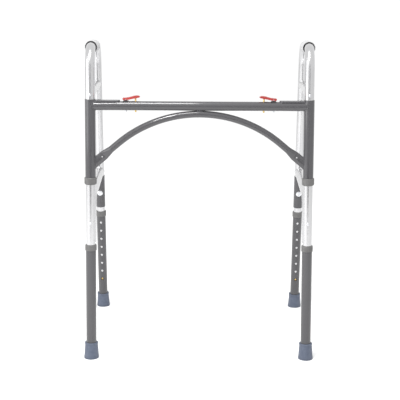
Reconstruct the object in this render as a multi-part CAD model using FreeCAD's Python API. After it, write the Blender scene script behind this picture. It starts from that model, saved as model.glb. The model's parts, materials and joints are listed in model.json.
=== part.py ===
import FreeCAD, Part
import math
import os

# Two-button folding walking frame, in millimetres.
# +Z is up, -Y is the front of the frame, and the origin is on the floor at the middle of the footprint.
# "left" and "right" are as seen from the front: left is -X.
# The right half is drawn, and the left half mirrors it.

V = FreeCAD.Vector

# ---- driving dimensions ----
TUBE_OD = 25.0            # anodised frame tube
TUBE_WALL = 1.4
RAIL_OD = 22.0            # upper side rail
EXT_OD = 28.0             # telescopic leg extension
EXT_ID = 25.6
SLEEVE_OD = 27.8          # hinge sleeve round the front leg
SLEEVE_ID = 26.0
BUSH_BORE = 25.1          # nylon bush bore, a running fit on the frame tube
CROSSBAR_OD = 24.0
CROSSBAR_ID = 20.8
ARCH_OD = 18.0
ARCH_ID = 14.8

FOOT_DEPTH = 445.0        # front foot to rear foot
FRONT_FOOT_X = 292.5      # half of the width between front feet
REAR_FOOT_X = 303.0
FRONT_TOP_X = 281.1       # the frame leans in towards the top
REAR_TOP_X = 298.0
REAR_TOP_DEPTH = 325.0    # front leg to rear corner, at handle height
HANDLE_FRONT_Z = 839.0
HANDLE_REAR_Z = 827.0
FRONT_BEND_R = 48.0
REAR_BEND_R = 62.0

HOLE_PITCH = 27.0         # height adjustment, eight holes
HOLE_COUNT = 8
HOLE_R = 4.0
BUTTON_R = 3.6
LOWEST_HOLE = 97.0        # all lengths along a leg are measured from the floor
TUBE_END = 74.0
EXT_BOTTOM = 9.0
WASHER_SEAT = 1.5         # depth under the extension for the foot's steel washer
TIP_H = 45.0
EXT_TOP = 308.0
COLLAR_TOP = 320.0
COLLAR_OD = 31.0
COLLAR_SKIRT = 4.0        # collar round the extension, below the extension's top

SLEEVE_BOTTOM_Z = 502.0
SLEEVE_TOP_Z = 707.0
BUSH_FLANGE_OD = 32.6
BUSH_FLANGE_H = 19.0
CROSSBAR_Z = 690.7
CROSSBAR_FORWARD = 1.5    # the crossbar sits a little in front of the sleeves' axes
ARCH_R = 328.0
ARCH_ANGLE = 40.0
ARCH_TAPER_START = 26.0   # along each straight end, from where the arch's curve stops
ARCH_TAPER_END = 50.0
ARCH_FINISH = 96.0
PADDLE_THICK = 5.0
PADDLE_WIDE = 25.0
GUSSET_START_X = 206.0    # plates on top of the crossbar, from beside the lever to the sleeve
GUSSET_RISE = 2.8
GUSSET_FRONT = 9.0        # in front of the crossbar's axis, and behind it
GUSSET_BACK = 14.0
GUSSET_CORNER = 6.0

UPPER_RAIL_FRONT_Z = 719.5
UPPER_RAIL_REAR_Z = 713.0
LOWER_RAIL_Z = 446.0
LOWER_RAIL_END_Z = 323.0
LOWER_RAIL_BEND_R = 34.0
RIVET_LOW_Z = 380.0
RIVET_R = 2.4
BOLT_R = 2.9
FASTENER_PLAY = 0.1       # bores are this much larger in radius than their rivets and bolts
RAIL_BACKSET = TUBE_OD + 0.05   # the lower rail's turned-down end lies behind the front leg
REAR_SLEEVE_OD = 27.8
REAR_SLEEVE_BOTTOM = 334.0
REAR_SLEEVE_TOP = 432.0

GRIP_OD = 32.5
GRIP_FLANGE_OD = 34.0
GRIP_START = 52.0         # from the front corner, along the handle
GRIP_LEN = 130.0

LEVER_PIVOT_X = 190.7     # release lever on the crossbar
PIN_X = 165.5
LATCH_TRAVEL = 8.0
LATCH_GUIDE_X = (225.0, 240.0)
LATCH_ROD_R = 4.0
LATCH_ROD_TAIL = 12.0     # rod past the pin, towards the middle of the crossbar
LATCH_NOSE_GAP = 0.5      # drawn-back rod to the front leg
LATCH_CHAMFER = 1.2
PIN_R = 2.2
PIN_BELOW = 4.5           # pin's ends past the crossbar
PIN_ABOVE = 7.0
FOLD_MAX_DEG = {"left": 81.0, "right": 62.0}   # the right side folds over the left one

FRONT_Y = -FOOT_DEPTH / 2
CROSSBAR_Y = FRONT_Y - CROSSBAR_FORWARD
BORE_R = TUBE_OD / 2 - TUBE_WALL


# ---- frame lines (right side) ----
def front_leg(z):
    """Point on the front leg's centre line at height z."""
    t = z / HANDLE_FRONT_Z
    return V(FRONT_FOOT_X + (FRONT_TOP_X - FRONT_FOOT_X) * t, FRONT_Y, z)


def rear_leg(z):
    """Point on the rear leg's centre line at height z."""
    t = z / HANDLE_REAR_Z
    return V(REAR_FOOT_X + (REAR_TOP_X - REAR_FOOT_X) * t,
             FRONT_Y + FOOT_DEPTH + (REAR_TOP_DEPTH - FOOT_DEPTH) * t, z)


FRONT_TOP = front_leg(HANDLE_FRONT_Z)
REAR_TOP = rear_leg(HANDLE_REAR_Z)
FRONT_UP = (FRONT_TOP - front_leg(0)).normalize()
REAR_UP = (REAR_TOP - rear_leg(0)).normalize()
HANDLE_DIR = (REAR_TOP - FRONT_TOP).normalize()


# ---- solid helpers ----
def rod(start, end, radius):
    run = end - start
    return Part.makeCylinder(radius, run.Length, start, run)


def pipe(start, end, outer_r, inner_r):
    return rod(start, end, outer_r).cut(rod(start, end, inner_r))


def fuse_all(shapes):
    solid = shapes[0]
    for other in shapes[1:]:
        solid = solid.fuse(other)
    return solid.removeSplitter()


def bend(corner, before, after, bend_r, radius):
    """Elbow between two runs: returns its solid and the trimmed ends of the two runs."""
    into = (corner - before).normalize()
    out = (after - corner).normalize()
    turn = into.getAngle(out)
    setback = bend_r * math.tan(turn / 2)
    start = corner - into * setback
    end = corner + out * setback
    normal = into.cross(out).normalize()
    centre = start + normal.cross(into) * bend_r
    face = Part.Face(Part.Wire(Part.makeCircle(radius, start, into)))
    return face.revolve(centre, normal, math.degrees(turn)), start, end


def bent_rod(points, bend_radii, radius):
    """Round bar through points, with an elbow of the given radius at each inner point."""
    solids = []
    run_start = points[0]
    for i, bend_r in enumerate(bend_radii):
        elbow, start, end = bend(points[i + 1], points[i], points[i + 2], bend_r, radius)
        solids += [rod(run_start, start, radius), elbow]
        run_start = end
    solids.append(rod(run_start, points[-1], radius))
    return fuse_all(solids)


def revolved(profile, base, direction):
    """Solid of revolution: profile is (radius, height) pairs, height along direction from base."""
    points = [V(r, 0, h) for r, h in profile]
    face = Part.Face(Part.makePolygon(points + [points[0]]))
    solid = face.revolve(V(0, 0, 0), V(0, 0, 1), 360)
    solid.Placement = FreeCAD.Placement(base, FreeCAD.Rotation(V(0, 0, 1), direction))
    return solid


def box_at(centre, size):
    return Part.makeBox(size.x, size.y, size.z, centre - size * 0.5)


def obround(centre, length, width, height):
    """Vertical slot cutter, long in X, centred on centre."""
    half = (length - width) / 2
    bottom = centre - V(0, 0, height / 2)
    ends = [Part.makeCylinder(width / 2, height, bottom + V(s * half, 0, 0)) for s in (-1, 1)]
    return fuse_all(ends + [box_at(centre, V(2 * half, width, height))])


def mirrored(shape):
    return shape.mirror(V(0, 0, 0), V(1, 0, 0))


def mirrored_pair(shape):
    return Part.makeCompound([shape, mirrored(shape)])


def export(name, shape):
    shape.exportStep("parts/" + name + ".step")


# ---- side frame ----
LEG_LINES = {"front": (front_leg, FRONT_UP, V(0, 1, 0)), "rear": (rear_leg, REAR_UP, V(0, -1, 0))}


def button_axis(leg):
    """Where the snap button is on a leg, and the way it comes out."""
    line, up, facing = LEG_LINES[leg]
    out = (facing - up * facing.dot(up)).normalize()
    return line(LOWEST_HOLE), out


def make_side_tube(fold_deg):
    """Front leg, handle and rear leg, bent from one tube."""
    ends = [front_leg(TUBE_END), FRONT_TOP, REAR_TOP, rear_leg(TUBE_END)]
    outer = bent_rod(ends, [FRONT_BEND_R, REAR_BEND_R], TUBE_OD / 2)
    past = [ends[0] - FRONT_UP * 2, FRONT_TOP, REAR_TOP, ends[3] - REAR_UP * 2]
    tube = outer.cut(bent_rod(past, [FRONT_BEND_R, REAR_BEND_R], BORE_R))
    for leg in LEG_LINES:
        centre, out = button_axis(leg)
        tube = tube.cut(rod(centre, centre + out * TUBE_OD, BUTTON_R + 0.3))
    # Two catch holes for the latch rod: one for the open frame, one for the folded frame.
    centre = front_leg(CROSSBAR_Z) + V(0, -CROSSBAR_FORWARD, 0)
    catch = rod(centre, centre - V(TUBE_OD, 0, 0), LATCH_ROD_R + 0.5)
    folded = catch.copy()
    folded.rotate(front_leg(0), FRONT_UP, -fold_deg)
    tube = tube.cut(catch).cut(folded)
    for z in (UPPER_RAIL_FRONT_Z, RIVET_LOW_Z):
        tube = tube.cut(rivet_bore(z))
    return tube.cut(bolt_bore())


def rivet_bore(z):
    centre = front_leg(z)
    return rod(centre - V(0, 30, 0), centre + V(0, 45, 0), RIVET_R + FASTENER_PLAY)


# The sleeve bolt is square to the leaning rear leg, so that its head seats on the sleeve.
BOLT_DIR = (V(0, 1, 0) - REAR_UP * REAR_UP.y).normalize()


def bolt_bore():
    centre = rear_leg(RIVET_LOW_Z)
    return rod(centre - BOLT_DIR * 30, centre + BOLT_DIR * 30, BOLT_R + FASTENER_PLAY)


def make_upper_rail():
    start = front_leg(UPPER_RAIL_FRONT_Z)
    end = rear_leg(UPPER_RAIL_REAR_Z)
    rail = pipe(start, end, RAIL_OD / 2, RAIL_OD / 2 - TUBE_WALL)
    rail = rail.cut(rod(front_leg(600), front_leg(800), TUBE_OD / 2))
    return rail.cut(rod(rear_leg(600), rear_leg(760), TUBE_OD / 2))


def make_lower_rail():
    """Level rail whose front end turns down and lies against the back of the front leg."""
    behind = V(0, RAIL_BACKSET, 0)
    turned_down_end = front_leg(LOWER_RAIL_END_Z) + behind
    points = [turned_down_end, front_leg(LOWER_RAIL_Z) + behind, rear_leg(LOWER_RAIL_Z)]
    outer = bent_rod(points, [LOWER_RAIL_BEND_R], TUBE_OD / 2)
    points[0] = points[0] - FRONT_UP * 2
    rail = outer.cut(bent_rod(points, [LOWER_RAIL_BEND_R], BORE_R))
    rail = rail.cut(rod(rear_leg(380), rear_leg(520), TUBE_OD / 2))
    return rail.cut(rivet_bore(RIVET_LOW_Z))


def make_rear_sleeve():
    sleeve = pipe(rear_leg(REAR_SLEEVE_BOTTOM), rear_leg(REAR_SLEEVE_TOP), REAR_SLEEVE_OD / 2, TUBE_OD / 2)
    return sleeve.cut(bolt_bore())


def make_rail_end_plug():
    """Plastic plug that closes the lower rail's open end."""
    base = front_leg(LOWER_RAIL_END_Z) + V(0, RAIL_BACKSET, 0)
    rim = TUBE_OD / 2 - 0.4
    profile = [(0, -1.5), (rim, -1.5), (rim, 0), (BORE_R, 0), (BORE_R, 10), (BORE_R - 2, 10), (BORE_R - 2, 2),
               (0, 2)]
    return revolved(profile, base, FRONT_UP)


def fastener(centre, front, back, shank_r, head_r, head_h, nut_r, direction=V(0, 1, 0)):
    """Round-headed pin: head in front of the front face, nut or tail behind the back face."""
    grip = front + back
    end = grip + head_h
    profile = [(0, -head_h), (head_r * 0.55, -head_h), (head_r * 0.88, -head_h * 0.6), (head_r, 0),
               (shank_r, 0), (shank_r, grip), (nut_r, grip), (nut_r * 0.8, end), (0, end)]
    return revolved(profile, centre - direction * front, direction)


def make_rivets():
    """Two through rivets that hold the rails to the front leg."""
    front = TUBE_OD / 2
    inside = 3.1 - front
    through = front + RAIL_BACKSET
    upper = fastener(front_leg(UPPER_RAIL_FRONT_Z), front, inside, RIVET_R, 3.6, 1.6, 4.6)
    lower = fastener(front_leg(RIVET_LOW_Z), front, through, RIVET_R, 3.6, 1.6, 4.6)
    return Part.makeCompound([upper, lower])


def make_sleeve_bolt():
    centre = rear_leg(RIVET_LOW_Z)
    half = REAR_SLEEVE_OD / 2 + 0.15
    head_h = 3.2
    bolt = fastener(centre, half, half, BOLT_R, 8.2, head_h, 7.0, BOLT_DIR)
    socket = Part.makeCylinder(2.6, 2.2, centre - BOLT_DIR * (half + head_h), BOLT_DIR)
    return bolt.cut(socket)


def make_grip():
    start = FRONT_TOP + HANDLE_DIR * GRIP_START
    body, flange = GRIP_OD / 2, GRIP_FLANGE_OD / 2
    half_profile = [(TUBE_OD / 2, 0), (flange - 1.2, 0), (flange, 1.2), (flange, 4), (body - 0.4, 6.5),
                    (body, 20)]
    profile = half_profile + [(r, GRIP_LEN - h) for r, h in reversed(half_profile)]
    return revolved(profile, start, HANDLE_DIR)


# ---- telescopic legs ----
def make_extension(leg):
    line, up, _ = LEG_LINES[leg]
    tube = pipe(line(EXT_BOTTOM), line(EXT_TOP), EXT_OD / 2, EXT_ID / 2)
    centre, out = button_axis(leg)
    for i in range(HOLE_COUNT):
        at = centre + up * (HOLE_PITCH * i)
        tube = tube.cut(rod(at, at + out * EXT_OD, HOLE_R))
    return tube


def make_collar(leg):
    """Nylon collar that caps the extension and guides the frame tube."""
    line, up, _ = LEG_LINES[leg]
    height = COLLAR_TOP - EXT_TOP
    outer, bore = COLLAR_OD / 2, EXT_ID / 2
    profile = [(bore, 0), (EXT_OD / 2, 0), (EXT_OD / 2, -COLLAR_SKIRT), (outer, -COLLAR_SKIRT),
               (outer, height - 3), (outer - 0.8, height - 0.9), (outer - 2.0, height), (bore, height)]
    return revolved(profile, line(EXT_TOP), up)


def make_tip(leg):
    """Rubber foot: a flared cup with a lip, a waist and a flat sole."""
    line, up, _ = LEG_LINES[leg]
    bore = EXT_OD / 2
    floor_h = EXT_BOTTOM - WASHER_SEAT
    profile = [(0, -4), (17.2, -4), (19.2, -2.6), (20.1, 0), (20.1, 4), (19.5, 9), (18.7, 18), (17.9, 30),
               (17.4, 39), (17.9, 40), (17.9, 43.6), (16.9, TIP_H), (bore, TIP_H), (bore, floor_h),
               (0, floor_h)]
    tip = revolved(profile, line(0), up)
    return tip.cut(box_at(line(0) - V(0, 0, 20), V(120, 120, 40)))


def make_tip_washer(leg):
    line, up, _ = LEG_LINES[leg]
    base = line(0) + up * (EXT_BOTTOM - WASHER_SEAT)
    return revolved([(4, 0), (EXT_OD / 2 - 0.2, 0), (EXT_OD / 2 - 0.2, 1.4), (4, 1.4)], base, up)


def make_button(leg):
    """Brass snap button, drawn pressed in, just inside the frame tube's surface."""
    centre, out = button_axis(leg)
    top = TUBE_OD / 2
    flange = BUTTON_R + 1.4
    profile = [(0, 4.3), (flange, 4.3), (flange, 5.3), (BUTTON_R, 5.3), (BUTTON_R, top - 2.0),
               (BUTTON_R * 0.87, top - 0.9), (BUTTON_R * 0.5, top - 0.1), (0, top + 0.1)]
    return revolved(profile, centre, out)


def make_button_spring(leg):
    """V-shaped leaf spring that carries the button inside the tube."""
    line, up, _ = LEG_LINES[leg]
    centre, out = button_axis(leg)
    side = up.cross(out).normalize()
    outline = [(-9.6, -6), (-9.6, 44), (-7.0, 50), (-1.0, 50), (3.9, -6), (2.9, -6), (-1.7, 49), (-6.4, 49),
               (-8.7, 43.6), (-8.7, -6)]
    points = [centre + out * a + up * b - side * 2.5 for a, b in outline]
    return Part.Face(Part.makePolygon(points + [points[0]])).extrude(side * 5)


# ---- front frame ----
def make_hinge_sleeve():
    sleeve = pipe(front_leg(SLEEVE_BOTTOM_Z), front_leg(SLEEVE_TOP_Z), SLEEVE_OD / 2, SLEEVE_ID / 2)
    centre = front_leg(CROSSBAR_Z) - V(0, CROSSBAR_FORWARD, 0)
    return sleeve.cut(rod(centre, centre - V(TUBE_OD, 0, 0), LATCH_ROD_R + 0.4))


def make_lower_bush():
    """Flanged nylon bush under the sleeve: the collar that carries the frame's weight."""
    flange, bore, spigot = BUSH_FLANGE_OD / 2, BUSH_BORE / 2, SLEEVE_ID / 2
    profile = [(bore, -BUSH_FLANGE_H), (flange - 2.6, -BUSH_FLANGE_H), (flange - 0.8, 1.2 - BUSH_FLANGE_H),
               (flange, 3.4 - BUSH_FLANGE_H), (flange, -1.4), (flange - 1.2, 0), (spigot, 0), (spigot, 22),
               (bore, 22)]
    return revolved(profile, front_leg(SLEEVE_BOTTOM_Z), FRONT_UP)


def make_upper_bush():
    bore, spigot = BUSH_BORE / 2, SLEEVE_ID / 2
    rim = SLEEVE_OD / 2
    profile = [(bore, -11), (spigot, -11), (spigot, 0), (rim - 0.3, 0), (rim - 0.8, 0.8), (bore, 0.8)]
    return revolved(profile, front_leg(SLEEVE_TOP_Z), FRONT_UP)


def sleeve_cutters():
    outer = rod(front_leg(450), front_leg(760), SLEEVE_OD / 2)
    return [outer, mirrored(outer)]


def make_crossbar():
    end = front_leg(CROSSBAR_Z).x
    start, finish = V(-end, CROSSBAR_Y, CROSSBAR_Z), V(end, CROSSBAR_Y, CROSSBAR_Z)
    bar = pipe(start, finish, CROSSBAR_OD / 2, CROSSBAR_ID / 2)
    for cutter in sleeve_cutters():
        bar = bar.cut(cutter)
    for side in (-1, 1):
        slot_centre = V(side * (PIN_X + LATCH_TRAVEL / 2), CROSSBAR_Y, CROSSBAR_Z)
        slot_length = LATCH_TRAVEL + 2 * PIN_R + 1.2
        bar = bar.cut(obround(slot_centre, slot_length, 2 * PIN_R + 0.8, 2 * CROSSBAR_OD))
        bar = bar.cut(Part.makeCylinder(2.0, 60, V(side * LEVER_PIVOT_X, CROSSBAR_Y, CROSSBAR_Z - 30)))
    return max(bar.Solids, key=lambda solid: solid.Volume)


def make_arch_brace():
    """Bowed tube under the crossbar; its flattened ends meet the sleeves."""
    top_z = CROSSBAR_Z - CROSSBAR_OD / 2 - ARCH_OD / 2
    centre = V(0, CROSSBAR_Y, top_z - ARCH_R)
    angle = math.radians(ARCH_ANGLE)
    arc_end = centre + V(ARCH_R * math.sin(angle), 0, ARCH_R * math.cos(angle))
    down = V(math.cos(angle), 0, -math.sin(angle))
    across = V(math.sin(angle), 0, math.cos(angle))
    taper_start = arc_end + down * ARCH_TAPER_START
    taper_end = arc_end + down * ARCH_TAPER_END
    finish = arc_end + down * ARCH_FINISH

    def curved(radius):
        start = V(-arc_end.x, arc_end.y, arc_end.z)
        tangent = V(math.cos(angle), 0, math.sin(angle))
        face = Part.Face(Part.Wire(Part.makeCircle(radius, start, tangent)))
        return face.revolve(centre, V(0, 1, 0), 2 * ARCH_ANGLE)

    def ellipse(at, wide, thick):
        half_wide = wide / 2
        if wide > thick:
            curve = Part.Ellipse(at + across * half_wide, at + V(0, thick / 2, 0), at)
        else:
            curve = Part.Circle(at, down, half_wide)
        return Part.Wire(curve.toShape())

    def end_piece():
        round_run = rod(arc_end, taper_start, ARCH_OD / 2)
        taper = Part.makeLoft([ellipse(taper_start, ARCH_OD, ARCH_OD),
                               ellipse(taper_end, PADDLE_WIDE, PADDLE_THICK * 1.3)], True)
        paddle = Part.Face(ellipse(taper_end, PADDLE_WIDE, PADDLE_THICK * 1.3)).extrude(finish - taper_end)
        whole = fuse_all([round_run, taper, paddle])
        whole = whole.cut(rod(arc_end, taper_start, ARCH_ID / 2))
        hole_at = taper_end + down * 6
        whole = whole.cut(rod(hole_at - V(0, 20, 0), hole_at + V(0, 20, 0), 2.0))
        return whole

    end = end_piece()
    arch = fuse_all([curved(ARCH_OD / 2).cut(curved(ARCH_ID / 2)), end, mirrored(end)])
    for cutter in sleeve_cutters():
        arch = arch.cut(cutter)
    return max(arch.Solids, key=lambda solid: solid.Volume)


CROSSBAR_TOP = CROSSBAR_Z + CROSSBAR_OD / 2


def make_gusset():
    """Flat plate welded to the top of the crossbar and to the sleeve, with its inner corners cut off."""
    front, back = CROSSBAR_Y - GUSSET_FRONT, CROSSBAR_Y + GUSSET_BACK
    inner, outer = GUSSET_START_X, front_leg(CROSSBAR_Z).x
    bottom = CROSSBAR_Z
    outline = [(inner, front + GUSSET_CORNER), (inner + GUSSET_CORNER, front), (outer, front), (outer, back),
               (inner + GUSSET_CORNER, back), (inner, back - GUSSET_CORNER)]
    points = [V(x, y, bottom) for x, y in outline]
    upright = V(0, 0, CROSSBAR_TOP + GUSSET_RISE - bottom)
    block = Part.Face(Part.makePolygon(points + [points[0]])).extrude(upright)
    plate_bottom = CROSSBAR_TOP - GUSSET_RISE
    below = box_at(V(inner, CROSSBAR_Y, plate_bottom - 25), V(400, 80, 50))
    axis = V(0, CROSSBAR_Y, CROSSBAR_Z)
    plate = block.cut(below).cut(rod(axis, axis + V(outer + 50, 0, 0), CROSSBAR_OD / 2))
    return plate.cut(sleeve_cutters()[0])


# ---- release levers ----
LEVER_AXIS = V(LEVER_PIVOT_X, CROSSBAR_Y, CROSSBAR_TOP + 4.6)
LEVER_HALF = 6.0
AXLE_R = 1.5
POST_R = 2.9              # round head of the block's post, inside the lever
POST_HALF = 2.5
SADDLE_LONG = 13.0
SADDLE_WIDE = 15.0
SADDLE_RISE = 1.2         # saddle above the top of the crossbar
SADDLE_DEPTH = 5.2
STUD_RISE = 0.9           # block rivet above the top of the crossbar
LEVER_PLAY = 0.4


def make_lever_block():
    """Black saddle riveted to the top of the crossbar, with a post that stands inside the lever."""
    saddle_middle = V(LEVER_PIVOT_X, CROSSBAR_Y, CROSSBAR_TOP + SADDLE_RISE - SADDLE_DEPTH / 2)
    saddle = box_at(saddle_middle, V(SADDLE_LONG, SADDLE_WIDE, SADDLE_DEPTH))
    across = V(0, POST_HALF, 0)
    post_height = LEVER_AXIS.z - CROSSBAR_TOP
    post = box_at(LEVER_AXIS - V(0, 0, post_height / 2), V(2 * POST_R, 2 * POST_HALF, post_height))
    block = fuse_all([saddle, post, rod(LEVER_AXIS - across, LEVER_AXIS + across, POST_R)])
    axis = V(0, CROSSBAR_Y, CROSSBAR_Z)
    block = block.cut(rod(axis, axis + V(LEVER_PIVOT_X + 40, 0, 0), CROSSBAR_OD / 2))
    block = block.cut(rod(LEVER_AXIS - across * 2, LEVER_AXIS + across * 2, AXLE_R))
    stud_bore = CROSSBAR_OD / 2 + STUD_RISE
    return block.cut(Part.makeCylinder(2.0, stud_bore, V(LEVER_PIVOT_X, CROSSBAR_Y, CROSSBAR_Z)))


def make_lever_axle():
    half = V(0, LEVER_HALF + 0.4, 0)
    return rod(LEVER_AXIS - half, LEVER_AXIS + half, AXLE_R)


def make_lever():
    """Red thumb lever: low over its axle, rising to a rounded tip nearer the middle of the crossbar."""
    outline = [(8.0, -0.4), (8.6, 2.2), (7.0, 4.3), (-2.0, 4.8), (-8.0, 5.8), (-16.0, 7.9), (-24.0, 9.7),
               (-31.0, 10.2), (-35.6, 9.2), (-37.4, 7.3), (-36.2, 5.5), (-28.0, 3.6), (-18.0, 1.8),
               (-6.0, -0.8), (0.0, -2.0), (5.0, -2.0)]
    points = [LEVER_AXIS + V(a, -LEVER_HALF, b) for a, b in outline]
    curve = Part.Face(Part.makePolygon(points + [points[0]]))
    lever = curve.extrude(V(0, 2 * LEVER_HALF, 0))
    pin_pocket = box_at(V(PIN_X + 3.3, CROSSBAR_Y, CROSSBAR_TOP + 5.5), V(19, 2 * PIN_R + 1.6, 9))
    roof = POST_R + LEVER_PLAY
    post_pocket = box_at(LEVER_AXIS + V(0, 0, roof - 5), V(11, 2 * (POST_HALF + LEVER_PLAY), 10))
    lever = lever.cut(pin_pocket).cut(post_pocket)
    return lever.cut(rod(LEVER_AXIS - V(0, 12, 0), LEVER_AXIS + V(0, 12, 0), AXLE_R + 0.06))


def make_latch_rod():
    """Steel rod inside the crossbar that slides out into the front leg."""
    nose = front_leg(CROSSBAR_Z).x - TUBE_OD / 2 - LATCH_NOSE_GAP
    axis = V(0, CROSSBAR_Y, CROSSBAR_Z)
    tip_start = axis + V(nose - LATCH_CHAMFER, 0, 0)
    tip = Part.makeCone(LATCH_ROD_R, LATCH_ROD_R - 1, LATCH_CHAMFER, tip_start, V(1, 0, 0))
    bar = rod(axis + V(PIN_X - LATCH_ROD_TAIL, 0, 0), tip_start, LATCH_ROD_R).fuse(tip)
    bar = bar.cut(Part.makeCylinder(PIN_R, 40, V(PIN_X, CROSSBAR_Y, CROSSBAR_Z - 20)))
    slot_centre = V(LEVER_PIVOT_X - LATCH_TRAVEL / 2, CROSSBAR_Y, CROSSBAR_Z)
    return bar.cut(obround(slot_centre, LATCH_TRAVEL + 4.8, 4.6, 20)).removeSplitter()


def make_latch_pin():
    """Brass cross pin: its ends stand out above and below the crossbar."""
    bottom = CROSSBAR_Z - CROSSBAR_OD / 2 - PIN_BELOW
    length = CROSSBAR_OD + PIN_BELOW + PIN_ABOVE
    profile = [(0, 0), (PIN_R - 0.5, 0), (PIN_R, 0.5), (PIN_R, length - 0.5), (PIN_R - 0.5, length),
               (0, length)]
    return revolved(profile, V(PIN_X, CROSSBAR_Y, bottom), V(0, 0, 1))


def make_latch_guide():
    """Nylon guide that centres the latch rod in the crossbar."""
    axis = V(0, CROSSBAR_Y, CROSSBAR_Z)
    inner, outer = (axis + V(x, 0, 0) for x in LATCH_GUIDE_X)
    return pipe(inner, outer, CROSSBAR_ID / 2, LATCH_ROD_R + 0.3)


def make_block_rivets():
    """Rivets that hold the lever blocks, with their nuts under the crossbar."""
    rivets = []
    for side in (-1, 1):
        bottom = CROSSBAR_Z - CROSSBAR_OD / 2
        height = CROSSBAR_OD + STUD_RISE
        profile = [(0, -3.4), (2.4, -3.4), (3.0, -2.8), (3.0, 0), (1.9, 0), (1.9, height), (0, height)]
        rivets.append(revolved(profile, V(side * LEVER_PIVOT_X, CROSSBAR_Y, bottom), V(0, 0, 1)))
    return Part.makeCompound(rivets)


# ---- build and write ----
def make_half(side):
    parts = {
        "side_tube": make_side_tube(FOLD_MAX_DEG[side]),
        "upper_rail": make_upper_rail(),
        "lower_rail": make_lower_rail(),
        "rail_end_plug": make_rail_end_plug(),
        "rear_sleeve": make_rear_sleeve(),
        "rail_rivets": make_rivets(),
        "sleeve_bolt": make_sleeve_bolt(),
        "grip": make_grip(),
        "hinge_sleeve": make_hinge_sleeve(),
        "lower_hinge_bush": make_lower_bush(),
        "lever_block": make_lever_block(),
        "release_lever": make_lever(),
        "latch_rod": make_latch_rod(),
        "latch_pin": make_latch_pin(),
    }
    for leg in LEG_LINES:
        parts[leg + "_extension"] = make_extension(leg)
        parts[leg + "_collar"] = make_collar(leg)
        parts[leg + "_tip"] = make_tip(leg)
        parts[leg + "_tip_washer"] = make_tip_washer(leg)
        parts[leg + "_button"] = make_button(leg)
        parts[leg + "_button_spring"] = make_button_spring(leg)
    return parts


def main():
    os.makedirs("parts", exist_ok=True)
    export("crossbar", make_crossbar())
    export("arch_brace", make_arch_brace())
    export("crossbar_gussets", mirrored_pair(make_gusset()))
    export("block_rivets", make_block_rivets())
    export("upper_hinge_bushes", mirrored_pair(make_upper_bush()))
    export("lever_axles", mirrored_pair(make_lever_axle()))
    export("latch_guides", mirrored_pair(make_latch_guide()))
    for side in ("left", "right"):
        for name, shape in make_half(side).items():
            if side == "left":
                shape = mirrored(shape)
            export(side + "_" + name, shape)


main()
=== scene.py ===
import json
import math

import bmesh
import bpy
from mathutils import Euler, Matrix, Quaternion, Vector


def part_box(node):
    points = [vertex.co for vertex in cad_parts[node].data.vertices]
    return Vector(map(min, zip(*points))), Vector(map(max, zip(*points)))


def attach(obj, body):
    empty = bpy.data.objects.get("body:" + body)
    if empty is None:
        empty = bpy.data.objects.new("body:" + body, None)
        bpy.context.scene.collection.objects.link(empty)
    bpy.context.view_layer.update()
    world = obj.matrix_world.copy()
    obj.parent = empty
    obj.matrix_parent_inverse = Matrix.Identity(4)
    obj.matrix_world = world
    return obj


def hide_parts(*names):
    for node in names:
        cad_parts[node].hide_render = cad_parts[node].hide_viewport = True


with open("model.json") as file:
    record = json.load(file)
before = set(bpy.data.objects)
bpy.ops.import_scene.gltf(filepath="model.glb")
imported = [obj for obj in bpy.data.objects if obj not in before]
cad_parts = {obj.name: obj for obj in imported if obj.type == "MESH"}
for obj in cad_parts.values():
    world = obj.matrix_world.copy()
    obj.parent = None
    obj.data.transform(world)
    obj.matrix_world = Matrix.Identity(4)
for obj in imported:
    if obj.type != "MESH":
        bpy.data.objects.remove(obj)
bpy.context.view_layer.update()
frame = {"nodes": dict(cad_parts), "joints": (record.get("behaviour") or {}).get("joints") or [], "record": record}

# Looks of a folding walking frame: finishes for the CAD parts, and the pieces that CAD keeps plain, which
# are the welds, the rubber feet, the fluted grips and the moulded release levers.
# Lengths are in metres.  Every mesh is drawn in the row frame, so a pattern's scale is in metres too.

MM = 0.001
MICRON = 0.000001            # depth of the surface relief in the finishes
SIDES = {"left": -1, "right": 1}
LEGS = ("front", "rear")

TUBE_R = 12.5 * MM
SLEEVE_R = 13.9 * MM
CROSSBAR_R = 12.0 * MM
UPPER_RAIL_R = 11.0 * MM

HANDLE_FRONT_Z = 839 * MM    # where the legs' centre lines would meet the handle's
HANDLE_REAR_Z = 827 * MM

ARCH_R = 328 * MM            # bow of the brace's centre line
ARCH_TUBE_R = 9.0 * MM
ARCH_HALF_TURN = math.radians(40)
PADDLE_HALF_WIDE = 12.5 * MM
PADDLE_HALF_THICK = 3.25 * MM

BEAD_R = 1.5 * MM            # weld beads
BEAD_SEGMENTS = 72
BEAD_SIDES = 10
RIPPLES = 24                 # ripples that the welder's steps leave round one joint
RIPPLE_SHARE = 0.13          # of the bead's radius
SWELL_SHARE = 0.08           # slower unevenness, as a share of the radius
THIN_BEAD_R = 1.2 * MM
CROSSBAR_WELD_FROM = 200 * MM    # from the crossbar's middle: a start that is clear of the post
RAIL_WELD_FROM = 150 * MM        # from the rail's end, likewise
SNUG = 0.995                 # keeps a bar just narrower than the post it meets

JOINTS = {joint["name"]: joint for joint in frame["joints"]}
MOUNTS = {mount["name"]: mount for mount in frame["record"]["mounts"]}


# ---- where things are ----
def leg_line(side, leg):
    """Where a leg's centre line meets the floor, and the unit vector up it."""
    foot = Vector(MOUNTS[f"{side}_{leg}_foot"]["pos_m"])
    return foot, -Vector(JOINTS[f"{side}_{leg}_height"]["axis"])


def leg_point(side, leg, height):
    foot, up = leg_line(side, leg)
    return foot + up * (height / up.z)


def crossbar_centre():
    """Middle of the crossbar's centre line.  The lever axles sit straight above it."""
    low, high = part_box("crossbar")
    return Vector((0, (low.y + high.y) / 2, (low.z + high.z) / 2))


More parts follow.
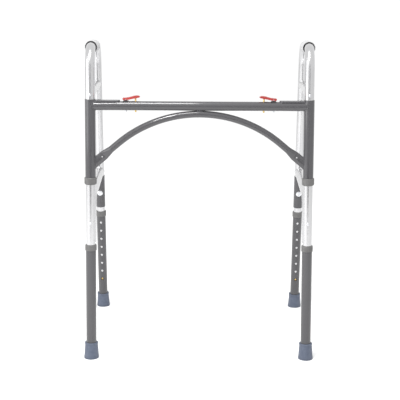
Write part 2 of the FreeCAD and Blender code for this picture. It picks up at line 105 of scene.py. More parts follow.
# ---- mesh helpers ----
def new_piece(name, vertices, faces, body, slot, smooth=True):
    mesh = bpy.data.meshes.new(name)
    mesh.from_pydata([tuple(v) for v in vertices], [], faces)
    mesh.validate()
    shape = bmesh.new()
    shape.from_mesh(mesh)
    bmesh.ops.remove_doubles(shape, verts=shape.verts, dist=1e-7)
    bmesh.ops.recalc_face_normals(shape, faces=shape.faces)
    shape.to_mesh(mesh)
    shape.free()
    piece = bpy.data.objects.new(name, mesh)
    bpy.context.scene.collection.objects.link(piece)
    mesh.materials.append(MATERIALS[slot])
    mesh.polygons.foreach_set("use_smooth", [smooth] * len(mesh.polygons))
    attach(piece, body)
    return piece


def keep_edges(piece, degrees=35):
    """Smooth shading, with edges that turn by more than this left crisp."""
    piece.data.set_sharp_from_angle(angle=math.radians(degrees))


def rounded(outline, radius, steps=4):
    """Closed outline with each corner turned into a small curve.  Corners on the axis stay."""
    result = []
    for i, corner in enumerate(outline):
        if abs(corner[0]) < 1e-9:
            result.append(Vector(corner))
            continue
        corner = Vector(corner)
        before = Vector(outline[i - 1]) - corner
        after = Vector(outline[(i + 1) % len(outline)]) - corner
        start = corner + before.normalized() * min(radius, before.length * 0.45)
        end = corner + after.normalized() * min(radius, after.length * 0.45)
        for k in range(steps + 1):
            t = k / steps
            result.append(start * (1 - t) ** 2 + corner * 2 * t * (1 - t) + end * t ** 2)
    return result


def side_vectors(direction):
    """Two unit vectors square to a direction."""
    across = direction.orthogonal().normalized()
    return across, direction.cross(across).normalized()


def lathe(outline, base, direction, segments, radius_at=None):
    """Vertices and faces of a closed outline of (radius, height) points turned about a line."""
    u, v = side_vectors(direction)
    vertices, faces = [], []
    for radius, height in outline:
        for k in range(segments):
            angle = 2 * math.pi * k / segments
            r = radius_at(radius, height, angle) if radius_at else radius
            vertices.append(base + direction * height + (u * math.cos(angle) + v * math.sin(angle)) * r)
    count = len(outline)
    for i in range(count):
        for k in range(segments):
            j, n = (i + 1) % count, (k + 1) % segments
            faces.append((i * segments + k, i * segments + n, j * segments + n, j * segments + k))
    return vertices, faces


def tube_along(path, outward, radii, sides, closed):
    """Tube round a path: outward holds a side vector for each point, and radii its radius."""
    vertices, faces = [], []
    count = len(path)
    for i, point in enumerate(path):
        ahead = path[(i + 1) % count] if closed else path[min(i + 1, count - 1)]
        behind = path[i - 1] if closed else path[max(i - 1, 0)]
        along = (ahead - behind).normalized()
        out = (outward[i] - along * outward[i].dot(along)).normalized()
        other = along.cross(out)
        for k in range(sides):
            angle = 2 * math.pi * k / sides
            vertices.append(point + (out * math.cos(angle) + other * math.sin(angle)) * radii[i])
    for i in range(count if closed else count - 1):
        for k in range(sides):
            j, n = (i + 1) % count, (k + 1) % sides
            faces.append((i * sides + k, i * sides + n, j * sides + n, j * sides + k))
    if not closed:
        faces.append(tuple(range(sides))[::-1])
        faces.append(tuple(range((count - 1) * sides, count * sides)))
    return vertices, faces


# ---- materials ----
class Surface:
    """A principled material.  Its patterns use the row frame's own metres."""

    def __init__(self, name, **constants):
        self.material = bpy.data.materials.new(name)
        self.material.use_nodes = True
        self.tree = self.material.node_tree
        self.shader = self.tree.nodes["Principled BSDF"]
        self.place = self.tree.nodes.new("ShaderNodeTexCoord").outputs["Object"]
        for socket, value in constants.items():
            self.shader.inputs[socket.replace("_", " ")].default_value = value

    def link(self, value, socket):
        self.tree.links.new(value, self.shader.inputs[socket])

    def stretched(self, stretch):
        mapping = self.tree.nodes.new("ShaderNodeMapping")
        mapping.inputs["Scale"].default_value = stretch
        self.tree.links.new(self.place, mapping.inputs["Vector"])
        return mapping.outputs["Vector"]

    def noise(self, scale, detail=2.0, stretch=None):
        node = self.tree.nodes.new("ShaderNodeTexNoise")
        node.inputs["Scale"].default_value = scale
        node.inputs["Detail"].default_value = detail
        self.tree.links.new(self.stretched(stretch) if stretch else self.place, node.inputs["Vector"])
        return node.outputs["Fac"]

    def ranged(self, value, low, high, start=0.3, end=0.7):
        node = self.tree.nodes.new("ShaderNodeMapRange")
        for socket, number in zip(("From Min", "From Max", "To Min", "To Max"), (start, end, low, high)):
            node.inputs[socket].default_value = number
        self.tree.links.new(value, node.inputs["Value"])
        return node.outputs["Result"]

    def blended(self, factor, first, second):
        """Mix of two colours or two numbers' patterns by a factor."""
        node = self.tree.nodes.new("ShaderNodeMix")
        node.data_type = "RGBA"
        self.tree.links.new(factor, node.inputs["Factor"])
        for value, socket in ((first, node.inputs[6]), (second, node.inputs[7])):
            if isinstance(value, tuple):
                socket.default_value = (*value, 1)
            else:
                self.tree.links.new(value, socket)
        return node.outputs[2]

    def height(self, axis="Z"):
        node = self.tree.nodes.new("ShaderNodeSeparateXYZ")
        self.tree.links.new(self.place, node.inputs["Vector"])
        return node.outputs[axis]

    def bumps(self, *layers):
        """Adds relief: each layer is a pattern and its depth in metres."""
        normal = None
        for pattern, depth in layers:
            node = self.tree.nodes.new("ShaderNodeBump")
            node.inputs["Distance"].default_value = depth
            node.inputs["Strength"].default_value = 1.0
            self.tree.links.new(pattern, node.inputs["Height"])
            if normal:
                self.tree.links.new(normal, node.inputs["Normal"])
            normal = node.outputs["Normal"]
        self.link(normal, "Normal")


def grey_paint():
    """Dark grey powder coat: orange peel, a little fleck, and dull rubbed patches."""
    s = Surface("grey_paint", Metallic=0.0, Coat_Weight=1.0, Coat_Roughness=0.09, Specular_IOR_Level=0.2)
    fleck = s.ranged(s.noise(2600), 0, 1, 0.42, 0.75)
    base = s.blended(fleck, (0.047, 0.046, 0.050), (0.074, 0.073, 0.078))
    cloud = s.ranged(s.noise(22, 4), 0, 0.35)
    s.link(s.blended(cloud, base, (0.048, 0.047, 0.051)), "Base Color")
    s.link(s.ranged(s.noise(90, 3), 0.30, 0.42), "Roughness")
    s.bumps((s.noise(700, 1), 30 * MICRON), (s.noise(3200, 1), 6 * MICRON))
    return s.material


DRAW_LINES = 1900            # noise scale of the lines that drawing leaves on a tube
BEND_BLEND = 30 * MM         # height over which the lines turn from the leg to the handle
HANDLE_DEPTH = 30 * MM       # below the handle's top


def anodised(name, bent_above=None, along="z"):
    """Satin anodised aluminium, with fine draw lines along the tube and faint handling marks."""
    s = Surface(name, Metallic=1.0, Specular_IOR_Level=0.5)
    lengthwise = {"z": (1, 1, 0.02), "y": (1, 0.02, 1)}
    lines = s.noise(DRAW_LINES, 2, lengthwise[along])
    if bent_above is not None:
        level = s.ranged(s.height(), 0, 1, bent_above - BEND_BLEND, bent_above)
        lines = s.blended(level, lines, s.noise(DRAW_LINES, 2, lengthwise["y"]))
    smudge = s.ranged(s.noise(14, 5), 0, 1)
    bright = s.blended(s.ranged(lines, 0, 1), (0.53, 0.53, 0.535), (0.61, 0.61, 0.615))
    dull = s.blended(smudge, bright, (0.56, 0.56, 0.57))
    s.link(dull, "Base Color")
    s.link(s.ranged(s.noise(60, 4), 0.17, 0.25), "Roughness")
    s.bumps((lines, 1.5 * MICRON))
    return s.material


def grip_vinyl():
    """Light grey soft vinyl with a fine leathery grain."""
    s = Surface("grip_vinyl", Metallic=0.0, Specular_IOR_Level=0.4, Sheen_Weight=0.15, Sheen_Roughness=0.5)
    tone = s.ranged(s.noise(35, 4), 0, 1)
    s.link(s.blended(tone, (0.36, 0.36, 0.365), (0.45, 0.45, 0.455)), "Base Color")
    s.link(s.ranged(s.noise(180, 3), 0.48, 0.62), "Roughness")
    s.bumps((s.noise(1500, 3), 50 * MICRON), (s.noise(300, 2), 40 * MICRON))
    return s.material


def steel():
    s = Surface("spring_steel", Metallic=1.0, Specular_IOR_Level=0.5)
    lines = s.noise(2200, 2, (1, 1, 0.05))
    s.link(s.blended(s.ranged(lines, 0, 1), (0.50, 0.50, 0.52), (0.66, 0.66, 0.68)), "Base Color")
    s.link(s.ranged(s.noise(120, 3), 0.22, 0.38), "Roughness")
    s.bumps((lines, 8 * MICRON))
    return s.material


def rubber():
    """Blue-grey rubber: matt, slightly mottled, and darker and greyer towards the sole."""
    s = Surface("rubber", Metallic=0.0, Specular_IOR_Level=0.35, Sheen_Weight=0.08, Sheen_Roughness=0.6)
    mottle = s.ranged(s.noise(120, 4), 0, 1)
    base = s.blended(mottle, (0.070, 0.085, 0.124), (0.096, 0.114, 0.156))
    # the colour turns darker and greyer over the lowest 10 mm, next to the floor
    near_sole = s.ranged(s.height(), 0.35, 0.0, 0.0, 0.010)
    s.link(s.blended(near_sole, base, (0.075, 0.084, 0.108)), "Base Color")
    s.link(s.ranged(s.noise(260, 3), 0.55, 0.75), "Roughness")
    s.bumps((s.noise(900, 3), 60 * MICRON), (s.noise(160, 2), 80 * MICRON))
    return s.material


def nylon():
    """Warm grey moulded nylon with a satin moulding grain."""
    s = Surface("nylon", Metallic=0.0, Specular_IOR_Level=0.45)
    tone = s.ranged(s.noise(70, 4), 0, 1)
    s.link(s.blended(tone, (0.094, 0.093, 0.092), (0.128, 0.126, 0.125)), "Base Color")
    s.link(s.ranged(s.noise(200, 3), 0.38, 0.52), "Roughness")
    s.bumps((s.noise(1300, 2), 40 * MICRON))
    return s.material


def black_plastic():
    s = Surface("black_plastic", Metallic=0.0, Specular_IOR_Level=0.45)
    tone = s.ranged(s.noise(90, 3), 0, 1)
    s.link(s.blended(tone, (0.020, 0.020, 0.021), (0.040, 0.040, 0.042)), "Base Color")
    s.link(s.ranged(s.noise(240, 3), 0.42, 0.58), "Roughness")
    s.bumps((s.noise(1500, 2), 40 * MICRON))
    return s.material


def red_plastic():
    """Glossy red moulding, with flow marks."""
    s = Surface("red_plastic", Metallic=0.0, Coat_Weight=0.7, Coat_Roughness=0.06, Specular_IOR_Level=0.5)
    flow = s.ranged(s.noise(60, 4, (0.4, 1, 1)), 0, 1)
    s.link(s.blended(flow, (0.27, 0.020, 0.017), (0.35, 0.032, 0.026)), "Base Color")
    s.link(s.ranged(s.noise(300, 3), 0.20, 0.34), "Roughness")
    s.bumps((s.noise(500, 2), 30 * MICRON))
    return s.material


def brass():
    s = Surface("brass", Metallic=1.0, Specular_IOR_Level=0.5)
    tarnish = s.ranged(s.noise(420, 4), 0, 1)
    s.link(s.blended(tarnish, (0.86, 0.63, 0.26), (0.62, 0.42, 0.15)), "Base Color")
    s.link(s.ranged(s.noise(700, 3), 0.20, 0.42), "Roughness")
    s.bumps((s.noise(1800, 2), 10 * MICRON))
    return s.material


def zinc():
    """Zinc plate, with the soft cloudy spangle of a plated fastener."""
    s = Surface("zinc", Metallic=1.0, Specular_IOR_Level=0.5)
    cloud = s.ranged(s.noise(500, 4), 0, 1)
    s.link(s.blended(cloud, (0.62, 0.63, 0.66), (0.82, 0.83, 0.85)), "Base Color")
    s.link(s.ranged(s.noise(900, 3), 0.20, 0.40), "Roughness")
    s.bumps((s.noise(2200, 2), 10 * MICRON))
    return s.material


def floor_paper():
    s = Surface("floor_paper", Metallic=0.0, Roughness=0.9, Specular_IOR_Level=0.1)
    s.link(s.blended(s.ranged(s.noise(9, 3), 0, 1), (0.93, 0.93, 0.93), (0.95, 0.95, 0.95)), "Base Color")
    return s.material


MATERIALS = {
    "grey_paint": grey_paint(),
    "anodised": anodised("anodised", bent_above=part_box("left_side_tube")[1].z - HANDLE_DEPTH),
    "grip": grip_vinyl(),
    "steel": steel(),
    "rubber": rubber(),
    "nylon": nylon(),
    "black_plastic": black_plastic(),
    "red_plastic": red_plastic(),
    "brass": brass(),
    "zinc": zinc(),
}
RAIL_METAL = anodised("anodised_rail", along="y")


def finish_cad_nodes():
    """Gives each CAD part the finish of its slot.  The side rails have draw lines along their own length."""
    for part in frame["record"]["subparts"]:
        node = frame["nodes"][part["node"]]
        rail = part["node"].endswith("_rail")
        node.data.materials.clear()
        node.data.materials.append(RAIL_METAL if rail else MATERIALS[part["material_slot"]])


# ---- welds ----
def bead_path(start, direction, u, v, half_u, half_v, post, up, post_r):
    """Where a round or flattened bar that runs along direction meets a post's surface."""
    path, outward = [], []
    for k in range(BEAD_SEGMENTS):
        angle = 2 * math.pi * k / BEAD_SEGMENTS
        offset = u * half_u * math.cos(angle) + v * half_v * math.sin(angle)
        from_post = start + offset - post
        flat_dir = direction - up * direction.dot(up)
        flat_from = from_post - up * from_post.dot(up)
        a = flat_dir.length_squared
        b = flat_dir.dot(flat_from)
        c = flat_from.length_squared - post_r ** 2
        reach = (-b - math.sqrt(max(b * b - a * c, 0))) / a
        path.append(start + offset + direction * reach)
        outward.append(offset)
    return path, outward


def weld_bead(name, body, slot, start, direction, halves, post, up, post_r, u=None, radius=BEAD_R):
    """Rippled bead round the joint of a bar with a post."""
    if u is None:
        u, v = side_vectors(direction)
    else:
        v = direction.cross(u).normalized()
    path, outward = bead_path(start, direction, u, v, *halves, post, up, post_r)
    radii = []
    for k in range(BEAD_SEGMENTS):
        angle = 2 * math.pi * k / BEAD_SEGMENTS
        ripple = RIPPLE_SHARE * math.sin(RIPPLES * angle)
        swell = SWELL_SHARE * math.sin(3 * angle + 1)
        radii.append(radius * (1 + ripple + swell))
    vertices, faces = tube_along(path, outward, radii, BEAD_SIDES, True)
    return new_piece(name, vertices, faces, body, slot)


def weld_front_frame(side):
    sign = SIDES[side]
    _, up = leg_line(side, "front")
    centre = crossbar_centre()
    post = leg_point(side, "front", centre.z)
    outward = Vector((sign, 0, 0))
    start = centre + outward * CROSSBAR_WELD_FROM
    weld_bead(f"{side}_crossbar_weld", "front_frame", "grey_paint", start, outward,
              (CROSSBAR_R, CROSSBAR_R), post, up, SLEEVE_R)

    bow_centre = centre - Vector((0, 0, CROSSBAR_R + ARCH_TUBE_R + ARCH_R))
    out = math.sin(ARCH_HALF_TURN)
    rise = math.cos(ARCH_HALF_TURN)
    bow_end = bow_centre + Vector((sign * out, 0, rise)) * ARCH_R
    down = Vector((sign * rise, 0, -out))
    across = Vector((sign * out, 0, rise))
    weld_bead(f"{side}_brace_weld", "front_frame", "grey_paint", bow_end, down,
              (PADDLE_HALF_WIDE, PADDLE_HALF_THICK), post, up, SLEEVE_R, u=across, radius=THIN_BEAD_R)


FILLET_STEPS = 12
FILLET_HALF_LENGTH = 9 * MM
FILLET_R = 2.4 * MM
FILLET_OUT = 5.2 * MM        # from the crossbar's centre plane
FILLET_DROP = 0.2 * MM       # below the crossbar's underside
FILLET_RIPPLE_SHARE = 0.07
FILLET_RIPPLES = 9
FILLET_END_SHARE = 0.02      # keeps the fillet's ends from closing to a point


def weld_brace_to_crossbar():
    """Two short fillets in the grooves where the bowed brace touches the crossbar."""
    centre = crossbar_centre()
    contact_z = centre.z - CROSSBAR_R
    for label, way in (("front", -1), ("rear", 1)):
        path, outward, radii = [], [], []
        for k in range(FILLET_STEPS + 1):
            t = 2 * k / FILLET_STEPS - 1
            path.append(Vector((t * FILLET_HALF_LENGTH, centre.y + way * FILLET_OUT,
                                contact_z - FILLET_DROP)))
            outward.append(Vector((0, way, 0)))
            fade = math.sqrt(max(1 - t * t, FILLET_END_SHARE))
            radii.append(FILLET_R * fade * (1 + FILLET_RIPPLE_SHARE * math.sin(FILLET_RIPPLES * t)))
        vertices, faces = tube_along(path, outward, radii, BEAD_SIDES, False)
        new_piece(f"brace_top_weld_{label}", vertices, faces, "front_frame", "grey_paint")


def weld_side_frame(side):
    body = f"{side}_side_frame"
    rail_low, rail_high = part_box(f"{side}_upper_rail")
    front_z = rail_high.z - UPPER_RAIL_R
    rear_z = rail_low.z + UPPER_RAIL_R
    front, front_up = leg_line(side, "front")
    rear, rear_up = leg_line(side, "rear")
    front_end = leg_point(side, "front", front_z)
    rear_end = leg_point(side, "rear", rear_z)
    half_way = (front_end + rear_end) / 2
    run = (rear_end - front_end).normalized()
    round_rail = (UPPER_RAIL_R, UPPER_RAIL_R)
    weld_bead(f"{side}_upper_rail_weld_front", body, "anodised", half_way, -run, round_rail,
              front, front_up, TUBE_R, radius=THIN_BEAD_R)
    weld_bead(f"{side}_upper_rail_weld_rear", body, "anodised", half_way, run, round_rail,
              rear, rear_up, TUBE_R, radius=THIN_BEAD_R)

    lower_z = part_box(f"{side}_lower_rail")[1].z - TUBE_R
    lower_end = leg_point(side, "rear", lower_z)
    lower_run = (lower_end - leg_point(side, "front", lower_z)).normalized()
    weld_bead(f"{side}_lower_rail_weld", body, "anodised", lower_end - lower_run * RAIL_WELD_FROM, lower_run,
              (TUBE_R * SNUG, TUBE_R * SNUG), rear, rear_up, TUBE_R, radius=THIN_BEAD_R)


# ---- rubber feet ----
TIP_OUTLINE = [(0, -4), (17.0, -4), (19.2, -2.6), (20.1, 0), (20.1, 4.0), (19.4, 9.0), (18.7, 18.0),
               (17.9, 30.0), (17.3, 38.0), (17.3, 39.2), (18.1, 40.2), (18.1, 43.4), (17.1, 45.0),
               (14.05, 45.0), (14.05, 7.5), (0, 7.5)]
TIP_SEGMENTS = 96
TREAD_RINGS = 3
TREAD_DEPTH = 1.0 * MM
TREAD_PITCH = 4.0 * MM
TREAD_LAND = 2.2 * MM
TREAD_DRAFT = 0.25 * MM
TIP_CORNER = 0.9 * MM
TIP_WALL_R = 17 * MM         # points outside this are on the foot's outer wall
FOOT_FLUTES = 24
FOOT_FLUTE_DEPTH = 0.25 * MM
FLUTES_LOW, FLUTES_HIGH = 5 * MM, 26 * MM
WALL_SPAN = 4 * MM           # a longer stretch of wall is divided, so that the flutes can bend it
WALL_STEP = 2 * MM


def foot_radius(radius, height, angle):
    """Shallow flutes round the lower half of the foot, which help it grip wet floors."""
    lower_half = FLUTES_LOW < height < FLUTES_HIGH and radius > TIP_WALL_R
    share = (height - FLUTES_LOW) / (FLUTES_HIGH - FLUTES_LOW)
    fade = math.sin(math.pi * share) if lower_half else 0
    return radius - FOOT_FLUTE_DEPTH * fade * (1 + math.cos(FOOT_FLUTES * angle)) / 2


def make_foot(side, leg):
    """Rubber foot with a rolled lip, and a treaded sole that lies flat on the floor."""
    base, up = leg_line(side, leg)
    outline = rounded([(r * MM, h * MM) for r, h in TIP_OUTLINE], TIP_CORNER)
    dense = []
    for i, point in enumerate(outline):
        dense.append(point)
        following = outline[(i + 1) % len(outline)]
        span = (following - point).length
        if point.x > TIP_WALL_R and following.x > TIP_WALL_R and span > WALL_SPAN:
            pieces = int(span / WALL_STEP)
            dense += [point.lerp(following, k / pieces) for k in range(1, pieces)]
    vertices, faces = lathe(dense, base, up, TIP_SEGMENTS, foot_radius)
    foot = new_piece(f"{side}_{leg}_rubber_foot", vertices, faces, f"{side}_{leg}_leg", "rubber")
    flatten_sole(foot.data)
    keep_edges(foot, 40)
    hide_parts(f"{side}_{leg}_tip")


def flatten_sole(mesh):
    """Cuts the foot at the floor and closes it with a sole that has ring grooves."""
    shape = bmesh.new()
    shape.from_mesh(mesh)
    everything = shape.verts[:] + shape.edges[:] + shape.faces[:]
    cut = bmesh.ops.bisect_plane(shape, geom=everything, plane_co=(0, 0, 0), plane_no=(0, 0, -1),
                                 clear_outer=True, dist=1e-6)
    rim = [v for v in cut["geom_cut"] if isinstance(v, bmesh.types.BMVert)]
    centre = sum((v.co for v in rim), Vector()) / len(rim)
    rim.sort(key=lambda v: math.atan2(v.co.y - centre.y, v.co.x - centre.x))
    starts = [v.co.copy() for v in rim]
    loop = rim
    for inset, rise in tread_profile():
        following = []
        for start in starts:
            inwards = (centre - start).normalized() * inset
            following.append(shape.verts.new(start + inwards + Vector((0, 0, rise))))
        for k in range(len(loop)):
            n = (k + 1) % len(loop)
            shape.faces.new((loop[k], loop[n], following[n], following[k]))
        loop = following
    shape.faces.new(loop)
    bmesh.ops.recalc_face_normals(shape, faces=shape.faces)
    shape.to_mesh(mesh)
    shape.free()
    mesh.polygons.foreach_set("use_smooth", [True] * len(mesh.polygons))


def tread_profile():
    """Steps from the rim towards the sole's middle: (distance in, height above the floor)."""
    steps = []
    for ring in range(TREAD_RINGS):
        start = TREAD_PITCH * ring + TREAD_LAND
        end = TREAD_PITCH * (ring + 1)
        steps += [(start, 0), (start + TREAD_DRAFT, TREAD_DEPTH), (end - TREAD_DRAFT, TREAD_DEPTH), (end, 0)]
    return steps


# ---- grips ----
GRIP_SEGMENTS = 192
GRIP_FLUTES = 24
GRIP_RINGS = 60
GRIP_START = 52 * MM         # from the handle's front corner
GRIP_LENGTH = 129.8 * MM
GRIP_R = 16.2 * MM
GRIP_FLANGE_R = 16.95 * MM
GRIP_BORE_R = 12.55 * MM
GRIP_MOUTH_R = 15.5 * MM     # the front end is open, like a cuff, round the handle's bend
GRIP_MOUTH_DEPTH = 16 * MM
FLUTES_FROM_END = 9 * MM
FLUTES_FADE = 8 * MM
FLUTE_DEPTH = 0.6 * MM
FINGER_SWELLS = 4
SWELL_DEPTH = 0.35 * MM
MOUTH_CHAMFER = 2 * MM
BARREL_MARGIN = 6.4 * MM     # from each end of the grip to the fluted barrel


def fluted(radius, height, angle):
    """Grip's radius: plain near the flanges, then soft flutes that swell for the fingers."""
    from_end = min(height, GRIP_LENGTH - height) - FLUTES_FROM_END
    if from_end < 0 or radius < GRIP_R - 0.1 * MM:
        return radius
    fade = min(1, from_end / FLUTES_FADE)
    flute = FLUTE_DEPTH * (1 - math.cos(GRIP_FLUTES * angle)) / 2
    swell = SWELL_DEPTH * (1 - math.sin(2 * math.pi * FINGER_SWELLS * height / GRIP_LENGTH)) / 2
    return radius - fade * (flute + swell)


def make_grip(side):
    """Vinyl sleeve with a flange at each end and soft flutes between them."""
    corner = leg_point(side, "front", HANDLE_FRONT_Z)
    direction = (leg_point(side, "rear", HANDLE_REAR_Z) - corner).normalized()
    flange = [(GRIP_FLANGE_R - 0.6 * MM, 0), (GRIP_FLANGE_R, 0.8 * MM), (GRIP_FLANGE_R, 4 * MM),
              (GRIP_R, 6.2 * MM)]
    mouth = [(GRIP_BORE_R, GRIP_MOUTH_DEPTH), (GRIP_MOUTH_R, GRIP_MOUTH_DEPTH - MOUTH_CHAMFER),
             (GRIP_MOUTH_R, 0)]
    first, last = BARREL_MARGIN, GRIP_LENGTH - BARREL_MARGIN
    barrel = [(GRIP_R, first + (last - first) * k / GRIP_RINGS) for k in range(GRIP_RINGS + 1)]
    far_end = [(r, GRIP_LENGTH - h) for r, h in reversed(flange)] + [(GRIP_BORE_R, GRIP_LENGTH)]
    outline = mouth + flange + barrel + far_end
    vertices, faces = lathe(outline, corner + direction * GRIP_START, direction, GRIP_SEGMENTS, fluted)
    grip = new_piece(f"{side}_hand_grip", vertices, faces, f"{side}_side_frame", "grip")
    keep_edges(grip, 50)
    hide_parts(f"{side}_grip")


# ---- release levers ----
LEVER_OUTLINE = [(8.0, -0.4), (8.6, 2.2), (7.0, 4.3), (-2.0, 4.8), (-8.0, 5.8), (-16.0, 7.9), (-24.0, 9.7),
                 (-31.0, 10.2), (-35.6, 9.2), (-37.4, 7.3), (-36.2, 5.5), (-28.0, 3.6), (-18.0, 1.8),
                 (-6.0, -0.8), (0.0, -2.0), (5.0, -2.0)]
LEVER_HALF_WIDE = 6.0 * MM
THUMB_RIDGES = 5
RIDGES_START = -20 * MM      # from the axle, along the lever
RIDGE_PITCH = 3.0 * MM
RIDGE_SIDES = 8
RIDGE_HALF_WIDE = 0.75 * MM
RIDGE_HALF_TALL = 0.6 * MM
RIDGE_LIFT = 0.1 * MM
RIDGE_INSET = 1.6 * MM       # from the lever's sides
LEVER_CORNER = 2.2 * MM
LEVER_EDGE = 1.3 * MM


def make_lever(side):
    """Red thumb lever with rounded edges and ridges under the thumb."""
    sign = SIDES[side]
    axis = Vector(JOINTS[f"{side}_lever_press"]["pos_m"])
    outline = [Vector((x * MM, z * MM)) for x, z in LEVER_OUTLINE]
    outline = rounded([tuple(p) for p in outline], LEVER_CORNER, 3)
    shape = bmesh.new()
    near, far = [], []
    for x, z in outline:
        near.append(shape.verts.new(axis + Vector((sign * x, -LEVER_HALF_WIDE, z))))
        far.append(shape.verts.new(axis + Vector((sign * x, LEVER_HALF_WIDE, z))))
    caps = [shape.faces.new(near), shape.faces.new(far[::-1])]
    count = len(outline)
    for i in range(count):
        j = (i + 1) % count
        shape.faces.new((near[j], near[i], far[i], far[j]))
    rims = [e for cap in caps for e in cap.edges]
    bmesh.ops.bevel(shape, geom=rims, offset=LEVER_EDGE, segments=4, profile=0.5, affect="EDGES",
                    clamp_overlap=True)
    for ridge in range(THUMB_RIDGES):
        add_ridge(shape, axis, sign, RIDGES_START - ridge * RIDGE_PITCH)
    bmesh.ops.recalc_face_normals(shape, faces=shape.faces)
    mesh = bpy.data.meshes.new(f"{side}_thumb_lever")
    shape.to_mesh(mesh)
    shape.free()
    lever = bpy.data.objects.new(f"{side}_thumb_lever", mesh)
    bpy.context.scene.collection.objects.link(lever)
    mesh.materials.append(MATERIALS["red_plastic"])
    mesh.polygons.foreach_set("use_smooth", [True] * len(mesh.polygons))
    keep_edges(lever, 32)
    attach(lever, f"{side}_lever")
    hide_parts(f"{side}_release_lever")


def lever_top(x):
    """Height of the lever's upper edge at x, along its outline."""
    upper = sorted(p for p in LEVER_OUTLINE[2:9])
    x = x / MM
    for (x0, z0), (x1, z1) in zip(upper, upper[1:]):
        if x0 <= x <= x1:
            return (z0 + (z1 - z0) * (x - x0) / (x1 - x0)) * MM
    return upper[0][1] * MM


def add_ridge(shape, axis, sign, x):
    """Low half-round rib across the lever's top."""
    rows = []
    for y in (-LEVER_HALF_WIDE + RIDGE_INSET, LEVER_HALF_WIDE - RIDGE_INSET):
        row = []
        for k in range(RIDGE_SIDES):
            angle = 2 * math.pi * k / RIDGE_SIDES
            place = Vector((sign * (x + RIDGE_HALF_WIDE * math.cos(angle)), y,
                            lever_top(x) + RIDGE_LIFT + RIDGE_HALF_TALL * math.sin(angle)))
            row.append(shape.verts.new(axis + place))
        rows.append(row)
    for k in range(RIDGE_SIDES):
        n = (k + 1) % RIDGE_SIDES
        shape.faces.new((rows[0][k], rows[0][n], rows[1][n], rows[1][k]))
    shape.faces.new(rows[0][::-1])
    shape.faces.new(rows[1])


# ---- stage, light and camera ----
FLOOR_HALF = 40.0
FLOOR_DROP = 0.2 * MM        # keeps the floor just under the soles
WHITE_WORLD = 1.08
CLIP_END = 200               # metres
SENSOR_WIDTH = 36            # millimetres, as the lens is
BOARD_DARK_Z, BOARD_LIGHT_Z = 0.08, 0.34    # heights between which a board grows lighter


def make_floor():
    """Wide paper floor just under the soles."""
    corners = [(x * FLOOR_HALF, y * FLOOR_HALF, 0) for x, y in ((-1, -1), (1, -1), (1, 1), (-1, 1))]
    mesh = bpy.data.meshes.new("floor")
    mesh.from_pydata(corners, [], [(0, 1, 2, 3)])
    mesh.materials.append(floor_paper())
    floor = bpy.data.objects.new("floor", mesh)
    bpy.context.scene.collection.objects.link(floor)
    floor.location.z = -FLOOR_DROP


def make_flag(name, centre, width, height):
    """Board that only reflections see, dark near the floor: it draws the soft line down polished tubes."""
    facing = Vector((-centre.x, -centre.y, 0)).normalized()
    across = facing.cross(Vector((0, 0, 1))) * (width / 2)
    tall = Vector((0, 0, height / 2))
    corners = [centre - across - tall, centre + across - tall, centre + across + tall, centre - across + tall]
    mesh = bpy.data.meshes.new(name)
    mesh.from_pydata([tuple(c) for c in corners], [], [(0, 1, 2, 3)])
    board = Surface(name, Metallic=0.0, Roughness=0.9)
    dark = board.blended(board.noise(5), (0.03, 0.03, 0.03), (0.05, 0.05, 0.05))
    lift = board.ranged(board.height(), 0, 1, BOARD_DARK_Z, BOARD_LIGHT_Z)
    board.link(board.blended(lift, dark, (0.50, 0.50, 0.505)), "Base Color")
    mesh.materials.append(board.material)
    flag = bpy.data.objects.new(name, mesh)
    bpy.context.scene.collection.objects.link(flag)
    flag.visible_camera = False
    flag.visible_diffuse = False
    flag.visible_shadow = False


def make_softbox(name, place, target, width, height, power):
    """Rectangular soft light that the camera does not see."""
    lamp = bpy.data.lights.new(name, "AREA")
    lamp.shape = "RECTANGLE"
    lamp.size = width
    lamp.size_y = height
    lamp.energy = power
    light = bpy.data.objects.new(name, lamp)
    light.location = place
    light.rotation_mode = "QUATERNION"
    light.rotation_quaternion = (Vector(target) - Vector(place)).to_track_quat("-Z", "Y")
    light.visible_camera = False
    bpy.context.scene.collection.objects.link(light)


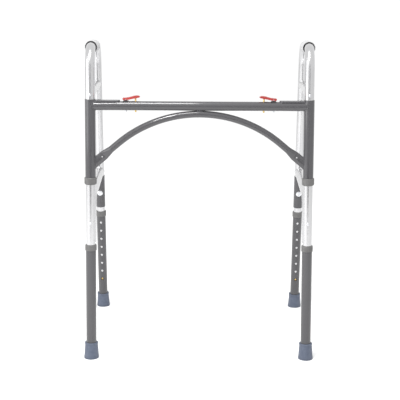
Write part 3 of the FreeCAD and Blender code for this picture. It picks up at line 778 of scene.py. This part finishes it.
def make_world(strength):
    """White surround that fills the shadows and lights the backdrop."""
    world = bpy.data.worlds.new("studio")
    world.use_nodes = True
    background = world.node_tree.nodes["Background"]
    background.inputs["Color"].default_value = (1, 1, 1, 1)
    background.inputs["Strength"].default_value = strength
    bpy.context.scene.world = world


CAMERA_AT = Vector((0.002, -2.745, 1.002))
CAMERA_PITCH = math.radians(77.48)
CAMERA_ROLL = math.radians(0.3)
CAMERA_LENS = 88.1


def make_camera():
    """Camera at the photograph's viewing angle, a little above the handles."""
    camera = bpy.data.cameras.new("camera")
    camera.lens = CAMERA_LENS
    camera.sensor_width = SENSOR_WIDTH
    camera.clip_end = CLIP_END
    holder = bpy.data.objects.new("camera", camera)
    holder.location = CAMERA_AT
    holder.rotation_mode = "QUATERNION"
    level = Euler((CAMERA_PITCH, 0, 0)).to_quaternion()
    holder.rotation_quaternion = level @ Quaternion((0, 0, 1), CAMERA_ROLL)
    bpy.context.scene.collection.objects.link(holder)
    bpy.context.scene.camera = holder


# name, place, point it faces, width, height, watts: the crossbar and the brace each mirror their own lamp
SOFTBOXES = [
    ("over_crossbar", (-0.20, -0.94, 2.47), (-0.20, -0.22, 0.70), 0.36, 0.90, 17),
    ("over_arch", (-0.62, -1.40, 2.20), (-0.13, -0.22, 0.66), 0.42, 0.60, 26),
    ("left_fill", (-2.3, -1.3, 1.15), (-0.3, -0.2, 1.15), 1.9, 1.9, 24),
]
FLAG_WIDTH, FLAG_HEIGHT = 1.5, 1.2


def make_studio():
    make_floor()
    make_world(WHITE_WORLD)
    for name, place, target, width, height, power in SOFTBOXES:
        make_softbox(name, place, target, width, height, power)
    make_flag("flag_front", Vector((0, -2.0, 0.60)), FLAG_WIDTH, FLAG_HEIGHT)
    view = bpy.context.scene.view_settings
    view.view_transform = "Standard"
    view.look = "None"


# ---- build ----
finish_cad_nodes()
weld_brace_to_crossbar()
for side in SIDES:
    weld_front_frame(side)
    weld_side_frame(side)
    make_grip(side)
    make_lever(side)
    for leg in LEGS:
        make_foot(side, leg)
make_studio()
make_camera()
